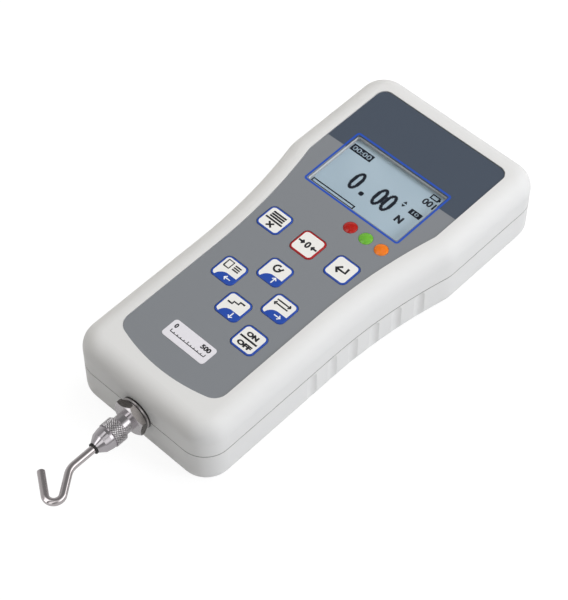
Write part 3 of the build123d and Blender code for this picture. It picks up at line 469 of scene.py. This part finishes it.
def fit_print(piece, low, high, z, finish, body):
    """Stretches a flat mesh into the box from low to high at height z, as a film of ink on a body."""
    corners = [Vector(corner) for corner in piece.bound_box]
    start = Vector([min(corner[i] for corner in corners) for i in range(3)])
    size = Vector([max(corner[i] for corner in corners) for i in range(3)]) - start
    select_only(piece)
    bpy.ops.object.mode_set(mode="EDIT")
    bpy.ops.mesh.select_all(action="SELECT")
    bpy.ops.transform.translate(value=-start)
    stretch = ((high[0] - low[0]) * MM / size.x, (high[1] - low[1]) * MM / size.y, 1.0)
    bpy.ops.transform.resize(value=stretch, center_override=(0.0, 0.0, 0.0))
    bpy.ops.transform.translate(value=Vector((low[0], low[1], z)) * MM)
    bpy.ops.mesh.dissolve_limited(angle_limit=math.radians(0.5))
    bpy.ops.mesh.extrude_region_move(TRANSFORM_OT_translate={"value": (0.0, 0.0, ink_film * MM)})
    bpy.ops.mesh.select_all(action="SELECT")
    bpy.ops.mesh.normals_make_consistent(inside=False)
    bpy.ops.object.mode_set(mode="OBJECT")
    piece.data.materials.clear()
    piece.data.materials.append(finish)
    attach(piece, body)


def printed_text(name, words, low, high, z, finish, body, weight=0.0):
    """Words or signs in ink. Weight thickens their strokes, as a share of the letter's size."""
    bpy.ops.object.select_all(action="DESELECT")
    bpy.ops.object.text_add()
    piece = bpy.context.object
    piece.name = name
    piece.data.body = words
    piece.data.offset = weight
    select_only(piece)
    bpy.ops.object.convert(target="MESH")
    fit_print(bpy.context.object, low, high, z, finish, body)


def printed_bar(name, low, high, z, finish, body, corner=0.0, line=0.0):
    """A rectangle in ink, with rounded corners if given, and only its outline where line is given."""
    bpy.ops.object.select_all(action="DESELECT")
    bpy.ops.mesh.primitive_plane_add(size=MM)
    piece = bpy.context.object
    piece.name = name
    bpy.ops.object.mode_set(mode="EDIT")
    bpy.ops.mesh.select_all(action="SELECT")
    bpy.ops.transform.resize(value=(high[0] - low[0], high[1] - low[1], 1.0))
    if corner > 0.0:
        bpy.ops.mesh.bevel(offset=corner * MM, segments=6, affect="VERTICES")
        bpy.ops.mesh.select_all(action="SELECT")
    if line > 0.0:
        bpy.ops.mesh.inset(thickness=line * MM)
        bpy.ops.mesh.delete(type="FACE")
    bpy.ops.object.mode_set(mode="OBJECT")
    fit_print(piece, low, high, z, finish, body)


def printed_line(name, lines, width, z, finish, body):
    """Strokes of ink of one width, each along its own list of points in mm."""
    sketch = bpy.data.curves.new(name, "CURVE")
    sketch.dimensions = "3D"
    sketch.bevel_depth = width / 2 * MM
    sketch.bevel_resolution = 2
    sketch.use_fill_caps = True
    for points in lines:
        stroke = sketch.splines.new("POLY")
        stroke.points.add(len(points) - 1)
        for point, (x, y) in zip(stroke.points, points):
            point.co = (x * MM, y * MM, 0.0, 1.0)
    piece = bpy.data.objects.new(name, sketch)
    bpy.context.collection.objects.link(piece)
    select_only(piece)
    bpy.ops.object.convert(target="MESH")
    piece = bpy.context.object
    bpy.ops.object.mode_set(mode="EDIT")
    bpy.ops.mesh.select_all(action="SELECT")
    bpy.ops.transform.resize(value=(1.0, 1.0, ink_film / width), center_override=(0.0, 0.0, 0.0))
    bpy.ops.transform.translate(value=(0.0, 0.0, (z + ink_film / 2) * MM))
    bpy.ops.object.mode_set(mode="OBJECT")
    piece.data.materials.append(finish)
    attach(piece, body)


def arrow(tail, tip, barb):
    """The strokes of an arrow: its shaft, and a head whose barbs reach back by barb."""
    tail, tip = Vector(tail), Vector(tip)
    back = (tail - tip).normalized() * barb
    side = Vector((-back.y, back.x))
    return [[tail, tip], [tip + back + side, tip, tip + back - side]]


# %% [markdown]
# ## Key signs
#
# Each sign is placed from its own key's centre, so the list reads as the sizes on one key. Functions are
# shown by plain signs that are drawn as strokes, and the power key by ON over OFF.

# %% Key signs
def centre_of(node_name):
    """A node's centre across and along, in mm."""
    low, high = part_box(node_name)
    return ((low.x + high.x) / 2 / MM, (low.y + high.y) / 2 / MM)


key_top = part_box("zero_key")[1].z / MM
bold = 0.72
fine = 0.55
zero_arrows = arrow((-4.0, -0.15), (-1.7, -0.15), 0.8) + arrow((4.0, -0.15), (1.7, -0.15), 0.8)
enter_arrow = [[(1.7, 1.8), (1.9, -0.5), (-2.0, -0.5)], [(-0.4, 1.2), (-2.1, -0.5), (-0.6, -1.9)]]
menu_lines = [[(-2.9, y), (2.9, y)] for y in (0.75, 1.75, 2.75)]
close_cross = [[(-1.1, -1.4), (1.1, -3.4)], [(-1.1, -3.4), (1.1, -1.4)]]
page = [[(-3.2, 0.4), (-3.2, 3.4), (-0.9, 3.4), (-0.9, 0.4), (-3.2, 0.4)], [(0.2, 1.0), (2.9, 1.0)],
        [(0.2, 1.9), (2.9, 1.9)], [(0.2, 2.8), (2.9, 2.8)]]
back_turn = [[(math.cos(math.radians(a)) * 1.35 - 0.4, math.sin(math.radians(a)) * 1.35 + 1.75)
              for a in range(70, 371, 20)], [(-0.1, 1.75), (0.95, 1.75), (1.5, 2.75)]]
swap_arrows = arrow((-3.2, 2.5), (2.6, 2.5), 0.75) + arrow((2.6, 1.0), (-3.2, 1.0), 0.75)
steps = [[(-3.2, 0.7), (-1.3, 0.7), (-1.3, 1.8), (0.6, 1.8), (0.6, 2.9), (2.5, 2.9)]]
white_arrows = {
    "print_key": arrow((3.1, -3.0), (0.5, -3.0), 0.85),
    "reset_key": arrow((1.9, -4.2), (1.9, -1.7), 0.85),
    "units_key": arrow((0.3, -2.9), (2.9, -2.9), 0.85),
    "mode_key": arrow((1.8, -1.7), (1.8, -4.2), 0.85),
}
key_strokes = [
    ("menu_key", "lines", menu_lines, bold, black_ink),
    ("menu_key", "cross", close_cross, bold, black_ink),
    ("menu_key", "rule", [[(-3.7, -0.45), (3.6, -0.45)]], bold, black_ink),
    ("zero_key", "arrows", zero_arrows, bold, black_ink),
    ("enter_key", "arrow", enter_arrow, 0.9, black_ink),
    ("print_key", "page", page, fine, black_ink),
    ("reset_key", "turn", back_turn, bold, black_ink),
    ("units_key", "swap", swap_arrows, fine, black_ink),
    ("mode_key", "steps", steps, bold, black_ink),
    ("power_key", "rule", [[(-3.8, -0.1), (3.5, -0.1)]], bold, black_ink),
] + [(node_name, "arrow", strokes, 0.45, white_ink) for node_name, strokes in white_arrows.items()]
for node_name, sign, strokes, width, finish in key_strokes:
    x, y = centre_of(node_name)
    placed = [[(x + point[0], y + point[1]) for point in points] for points in strokes]
    printed_line(f"{node_name}_{sign}", placed, width, key_top, finish, node_name)
key_words = [
    ("zero_key", "0", (-0.95, -1.55), (0.95, 1.35), 0.05),
    ("power_key", "ON", (-2.5, 0.95), (2.2, 2.9), 0.07),
    ("power_key", "OFF", (-2.8, -3.4), (3.1, -1.45), 0.07),
]
for node_name, words, low, high, weight in key_words:
    x, y = centre_of(node_name)
    printed_text(f"{node_name}_{words}", words, (x + low[0], y + low[1]), (x + high[0], y + high[1]),
                 key_top, black_ink, node_name, weight)
print("key marks:", len(key_strokes) + len(key_words), "at height", round(key_top, 2), "mm")

# %% [markdown]
# ## Window line and range label
#
# A blue line is printed on the film round the display window. The label is a blank foil with a plain
# scale from 0 to 500 along its length.

# %% Window line and range label
film_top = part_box("keypad_overlay")[1].z / MM
window_low, window_high = [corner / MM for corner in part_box("display_window")]
line_reach = 1.12
line_width = 0.75
printed_bar("window_line", (window_low.x - line_reach, window_low.y - line_reach),
            (window_high.x + line_reach, window_high.y + line_reach), film_top, blue_ink, "housing",
            corner=1.2, line=line_width)

label_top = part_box("range_label")[1].z / MM
label_x, label_y = centre_of("range_label")
scale_half = 7.6
scale_step = scale_half / 5
ticks = [[(label_x + index * scale_step, label_y - 1.2),
          (label_x + index * scale_step, label_y - (0.1 if index % 5 == 0 else 0.6))]
         for index in range(-5, 6)]
ticks.append([(label_x - scale_half, label_y - 1.2), (label_x + scale_half, label_y - 1.2)])
printed_line("label_scale", ticks, 0.32, label_top, black_ink, "housing")
for words, x, half in (("0", -scale_half + 0.2, 0.6), ("500", scale_half - 1.6, 2.0)):
    printed_text("label_" + words, words, (label_x + x - half, label_y + 0.7),
                 (label_x + x + half, label_y + 2.6), label_top, black_ink, "housing", 0.05)
print("window line at", round(film_top, 2), "mm, label marks at", round(label_top, 2), "mm")

# %% [markdown]
# ## Display marks
#
# The panel draws in square dots about a third of a millimetre apart. The three large zeros are modelled
# that way: a grid of dots, from which all dots outside a narrow oval ring are deleted. The small marks are
# too small for their dots to show, so they are text, blocks and outlines.

# %% Display marks
panel_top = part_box("lcd_panel")[1].z / MM
dot = 0.33
segment_ink = ink_finish("driven liquid crystal", "#07091C", 0.3)
clear_dots = ink_finish("idle liquid crystal", "#C9DEEC", 0.3)


def dotted_zero(name, centre, half_width, half_height, stroke):
    """A zero in display dots: the dots between an outer and an inner oval."""
    columns, rows = round(2 * half_width / dot), round(2 * half_height / dot)
    bpy.ops.object.select_all(action="DESELECT")
    bpy.ops.mesh.primitive_grid_add(x_subdivisions=columns, y_subdivisions=rows, size=2 * MM)
    piece = bpy.context.object
    piece.name = name
    bpy.ops.object.mode_set(mode="EDIT")
    bpy.ops.mesh.select_mode(type="FACE")
    bpy.ops.mesh.select_all(action="DESELECT")
    bpy.ops.object.mode_set(mode="OBJECT")
    for face in piece.data.polygons:
        x, y = face.center.x / MM, face.center.y / MM
        outer = abs(x) ** 2.3 + abs(y) ** 2.3
        inner = (abs(x) / (1 - stroke / half_width)) ** 2.3 + (abs(y) / (1 - stroke / half_height)) ** 2.3
        face.select = outer > 1.0 or inner < 1.0
    bpy.ops.object.mode_set(mode="EDIT")
    bpy.ops.mesh.delete(type="FACE")
    bpy.ops.mesh.select_mode(type="VERT")
    bpy.ops.object.mode_set(mode="OBJECT")
    low = (centre[0] - half_width, centre[1] - half_height)
    high = (centre[0] + half_width, centre[1] + half_height)
    fit_print(piece, low, high, panel_top, segment_ink, "housing")


def panel_text(name, words, low, high, finish=segment_ink, lift=0.0, weight=0.065):
    """Small characters on the panel, or lifted over a block."""
    printed_text(name, words, low, high, panel_top + lift, finish, "housing", weight)


for index, x in enumerate((-8.2, 2.3, 6.3)):
    dotted_zero(f"reading_zero_{index}", (x, 34.25), 1.98, 4.3, 1.3)
printed_bar("reading_point", (-4.3, 30.05), (-2.5, 31.85), panel_top, segment_ink, "housing", corner=0.55)
printed_bar("clock_block", (-20.3, 43.4), (-10.8, 46.6), panel_top, segment_ink, "housing")
panel_text("clock_digits", "00:00", (-19.6, 44.0), (-11.5, 46.0), clear_dots, ink_film, weight=0.01)
printed_bar("unit_block", (13.75, 35.7), (18.7, 38.1), panel_top, segment_ink, "housing")
panel_text("unit_digits", "10", (14.9, 36.2), (17.5, 37.6), clear_dots, ink_film, weight=0.01)
panel_text("unit_sign", "N", (12.2, 29.8), (15.0, 32.9))
panel_text("count_digits", "001", (14.0, 42.2), (19.1, 45.1), weight=0.035)
panel_text("up_sign", "\u25b2", (9.75, 38.0), (11.35, 39.2), weight=0.0)
panel_text("down_sign", "\u25bc", (9.75, 36.2), (11.35, 37.4), weight=0.0)
printed_bar("battery_outline", (14.8, 45.8), (18.3, 48.1), panel_top, segment_ink, "housing", line=0.52)
printed_bar("battery_contact", (18.2, 46.4), (18.8, 47.5), panel_top, segment_ink, "housing")
printed_bar("bar_outline", (-20.3, 23.5), (-0.9, 25.4), panel_top, segment_ink, "housing", line=0.52)
print("display marks at", round(panel_top, 2), "mm, dots", dot, "mm")

# %% [markdown]
# ## Knurl
#
# The adapter is turned by hand, so its sleeve has a diamond knurl, pressed in by two slanted wheels. A
# wall of square faces is wrapped round the sleeve. Poking each face puts a point in its middle; dissolving
# the old edges leaves diamonds; poking those, with an offset, raises one point on each.

# %% Knurl
adapter_low, adapter_high = [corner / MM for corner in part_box("adapter")]
spindle_axis_z = (adapter_low.z + adapter_high.z) / 2
knurl_radius = (adapter_high.x - adapter_low.x) / 2 + 0.02
knurl_start = adapter_high.y - 0.4
knurl_length = 4.3
knurl_columns = 32
knurl_rows = 5
knurl_height = 0.24
knurl_wall = 0.1
row = knurl_length / knurl_rows

# the points of the diamonds carry a painted highlight and the grooves between them painted shade, so the
# colour goes by the distance from the spindle's axis
knurl_plate, tree, shader, position = new_finish("knurl nickel, painted groove shade and point highlight", "#D9D4D6", 0.3, metallic=1.0)
from_axis = add_node(tree, "ShaderNodeVectorMath",
                     {0: position, 1: (0.0, 0.0, spindle_axis_z * MM)}, operation="SUBTRACT")
crosswise = add_node(tree, "ShaderNodeVectorMath",
                     {0: from_axis.outputs["Vector"], 1: (1.0, 0.0, 1.0)}, operation="MULTIPLY")
radius = add_node(tree, "ShaderNodeVectorMath", {0: crosswise.outputs["Vector"]}, operation="LENGTH")
painted_light_share = add_node(tree, "ShaderNodeMapRange",
                  {"Value": radius.outputs["Value"], "From Min": (knurl_radius + 0.01) * MM,
                   "From Max": (knurl_radius + 0.10) * MM})
# dark in the grooves, pale on the points: painted shade and painted highlight
tones = add_node(tree, "ShaderNodeMix",
                 {COLOUR_FACTOR: painted_light_share.outputs["Result"], COLOUR_A: paint("#6E6A6C"),
                  COLOUR_B: paint("#F6F3F5")}, data_type="RGBA")
tree.links.new(tones.outputs[COLOUR_OUT], shader.inputs["Base Color"])

bpy.ops.object.select_all(action="DESELECT")
bpy.ops.mesh.primitive_circle_add(vertices=knurl_columns, radius=knurl_radius * MM,
                                  location=(0.0, knurl_start * MM, spindle_axis_z * MM),
                                  rotation=(math.radians(90.0), 0.0, 0.0))
knurl = bpy.context.object
knurl.name = "adapter_knurl"
bpy.ops.object.transform_apply(location=True, rotation=True, scale=True)
bpy.ops.object.mode_set(mode="EDIT")
bpy.ops.mesh.select_all(action="SELECT")
for _ in range(knurl_rows):
    bpy.ops.mesh.extrude_region_move(TRANSFORM_OT_translate={"value": (0.0, -row * MM, 0.0)})
bpy.ops.mesh.select_all(action="SELECT")
bpy.ops.mesh.normals_make_consistent(inside=False)
bpy.ops.mesh.poke()
bpy.ops.mesh.select_mode(type="EDGE")
bpy.ops.mesh.select_all(action="DESELECT")
bpy.ops.object.mode_set(mode="OBJECT")
points = knurl.data.vertices
ends = (knurl_start * MM, (knurl_start - knurl_length) * MM)
for edge in knurl.data.edges:
    first, second = [points[index].co for index in edge.vertices]
    at_end = any(abs(first.y - y) < 0.01 * MM and abs(second.y - y) < 0.01 * MM for y in ends)
    edge.select = (first - second).length > 0.7 * MM and not at_end
bpy.ops.object.mode_set(mode="EDIT")
bpy.ops.mesh.dissolve_edges(use_verts=False)
bpy.ops.mesh.select_mode(type="FACE")
bpy.ops.mesh.select_all(action="SELECT")
bpy.ops.mesh.poke(offset=knurl_height * MM, center_mode="MEDIAN_WEIGHTED")
bpy.ops.object.mode_set(mode="OBJECT")
wall = knurl.modifiers.new("wall", "SOLIDIFY")
wall.thickness = knurl_wall * MM
wall.offset = -1.0
bpy.ops.object.modifier_apply(modifier=wall.name)
knurl.data.materials.append(knurl_plate)
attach(knurl, "adapter")
print("knurl faces:", len(knurl.data.polygons))

# %% [markdown]
# ## Studio
#
# A plain pale floor and soft light. Large panels light the gauge: the strongest one from its right and
# behind, so the right side and the face are bright and the hook end falls into half shade. The floor and
# the far background are kept white for the eye with Light Path, while the floor still takes the shadow.
# Bright metal shows whatever stands round it, so reflections see a paler and a darker side of
# the studio, in strips along the spindle: a bright one over its right and a dark one overhead.

# %% Lights
def soft_panel(name, place, aim, size, power, tint="#FFFFFF"):
    """A square soft light that faces a point. Bright metal mirrors the world's strips instead of it."""
    bpy.ops.object.light_add(type="AREA", location=Vector(place) * MM)
    panel_light = bpy.context.object
    panel_light.name = name
    panel_light.data.shape = "SQUARE"
    panel_light.data.size = size * MM
    panel_light.data.energy = power
    panel_light.data.color = paint(tint)[:3]
    panel_light.visible_glossy = False
    panel_light.rotation_mode = "QUATERNION"
    facing = (Vector(aim) - Vector(place)) * MM
    panel_light.rotation_quaternion = facing.to_track_quat("-Z", "Y")
    print(name, "at", place, "mm,", power, "W")


soft_panel("key light", (2050, 780, 1080), (0, -20, 10), 820, 28.0, tint="#F4F8FF")
soft_panel("top light", (120, 350, 760), (0, 0, 10), 700, 4.1)
soft_panel("fill light", (-520, -120, 500), (0, 0, 10), 600, 1.1, tint="#FFFCF4")

# %% Floor
floor_size = 6.0
floor_drop = 0.05
eye_white = 1.12
mirror_white = 0.55
flat_share = 0.8
bpy.ops.mesh.primitive_plane_add(size=floor_size, location=(0.0, 0.0, -floor_drop * MM))
floor = bpy.context.object
floor.name = "floor"
floor_paper, tree, shader, position = new_finish("white paper sweep", "#F2F2F2", 0.9)
rays = add_node(tree, "ShaderNodeLightPath")
mirrored = add_node(tree, "ShaderNodeMath",
                    {0: rays.outputs["Is Glossy Ray"], 1: rays.outputs["Is Transmission Ray"]},
                    operation="MAXIMUM")
seen_share = add_node(tree, "ShaderNodeMath", {0: rays.outputs["Is Camera Ray"], 1: flat_share},
                      operation="MULTIPLY")
mirrored_share = add_node(tree, "ShaderNodeMath", {0: mirrored.outputs["Value"], 1: flat_share},
                          operation="MULTIPLY")
white = add_node(tree, "ShaderNodeEmission", {"Color": (1.0, 1.0, 1.0, 1.0), "Strength": eye_white})
pale = add_node(tree, "ShaderNodeEmission", {"Color": (1.0, 1.0, 1.0, 1.0), "Strength": mirror_white})
to_eye = add_node(tree, "ShaderNodeMixShader",
                  {0: seen_share.outputs["Value"], 1: shader.outputs["BSDF"], 2: white.outputs["Emission"]})
to_metal = add_node(tree, "ShaderNodeMixShader",
                    {0: mirrored_share.outputs["Value"], 1: to_eye.outputs["Shader"],
                     2: pale.outputs["Emission"]})
tree.links.new(to_metal.outputs["Shader"], tree.nodes["Material Output"].inputs["Surface"])
floor.data.materials.append(floor_paper)

# %% World
# each strip is an angle round the spindle, from straight up towards the right side, and its brightness
strips = [(-90, 0.30), (-62, 0.22), (-38, 0.12), (8, 0.12), (26, 0.30), (40, 1.0), (64, 1.0), (78, 0.15)]
# ahead of the hook the studio is a wall of panels, each a share of the way across and its brightness
wall_strips = [(-1.0, 0.25), (-0.55, 0.25), (-0.46, 1.0), (-0.2, 1.0), (-0.12, 0.05), (0.02, 0.05),
               (0.12, 0.6), (0.4, 0.6), (0.52, 0.1), (1.0, 0.3)]
strip_power = 1.9
ambient_power = 0.26

world = bpy.data.worlds.new("studio")
bpy.context.scene.world = world
world.use_nodes = True
tree = world.node_tree
ambient = tree.nodes["Background"]
ambient.inputs["Color"].default_value = (1.0, 1.0, 1.0, 1.0)
ambient.inputs["Strength"].default_value = ambient_power
looking = add_node(tree, "ShaderNodeTexCoord")
parts = add_node(tree, "ShaderNodeSeparateXYZ", {"Vector": looking.outputs["Generated"]})


def strip_ramp(value, start, end, stops):
    """The brightness of a row of panels, by a direction's value between start and end."""
    share = add_node(tree, "ShaderNodeMapRange", {"Value": value, "From Min": start, "From Max": end})
    ramp = add_node(tree, "ShaderNodeValToRGB", {"Fac": share.outputs["Result"]})
    while len(ramp.color_ramp.elements) < len(stops):
        ramp.color_ramp.elements.new(0.5)
    for element, (place, brightness) in zip(ramp.color_ramp.elements, stops):
        element.position = (place - start) / (end - start)
        element.color = (brightness, brightness, brightness, 1.0)
    return ramp.outputs["Color"]


turn = add_node(tree, "ShaderNodeMath", {0: parts.outputs["X"], 1: parts.outputs["Z"]}, operation="ARCTAN2")
degrees = add_node(tree, "ShaderNodeMath", {0: turn.outputs["Value"]}, operation="DEGREES")
over = strip_ramp(degrees.outputs["Value"], -90, 90, strips)
before = strip_ramp(parts.outputs["X"], -1.0, 1.0, wall_strips)
ahead = add_node(tree, "ShaderNodeMapRange",
                 {"Value": parts.outputs["Y"], "From Min": 0.15, "From Max": -0.25})
walls = add_node(tree, "ShaderNodeMix",
                 {COLOUR_FACTOR: ahead.outputs["Result"], COLOUR_A: over, COLOUR_B: before}, data_type="RGBA")
backdrop = add_node(tree, "ShaderNodeBackground",
                    {"Color": walls.outputs[COLOUR_OUT], "Strength": strip_power})
white = add_node(tree, "ShaderNodeBackground", {"Color": (1.0, 1.0, 1.0, 1.0), "Strength": 1.0})
rays = add_node(tree, "ShaderNodeLightPath")
mirrored = add_node(tree, "ShaderNodeMath",
                    {0: rays.outputs["Is Glossy Ray"], 1: rays.outputs["Is Transmission Ray"]},
                    operation="MAXIMUM")
to_metal = add_node(tree, "ShaderNodeMixShader",
                    {0: mirrored.outputs["Value"], 1: ambient.outputs["Background"],
                     2: backdrop.outputs["Background"]})
to_eye = add_node(tree, "ShaderNodeMixShader",
                  {0: rays.outputs["Is Camera Ray"], 1: to_metal.outputs["Shader"],
                   2: white.outputs["Background"]})
tree.links.new(to_eye.outputs["Shader"], tree.nodes["World Output"].inputs["Surface"])
bpy.context.scene.view_settings.view_transform = "Standard"
print("studio strips:", len(strips) + len(wall_strips))
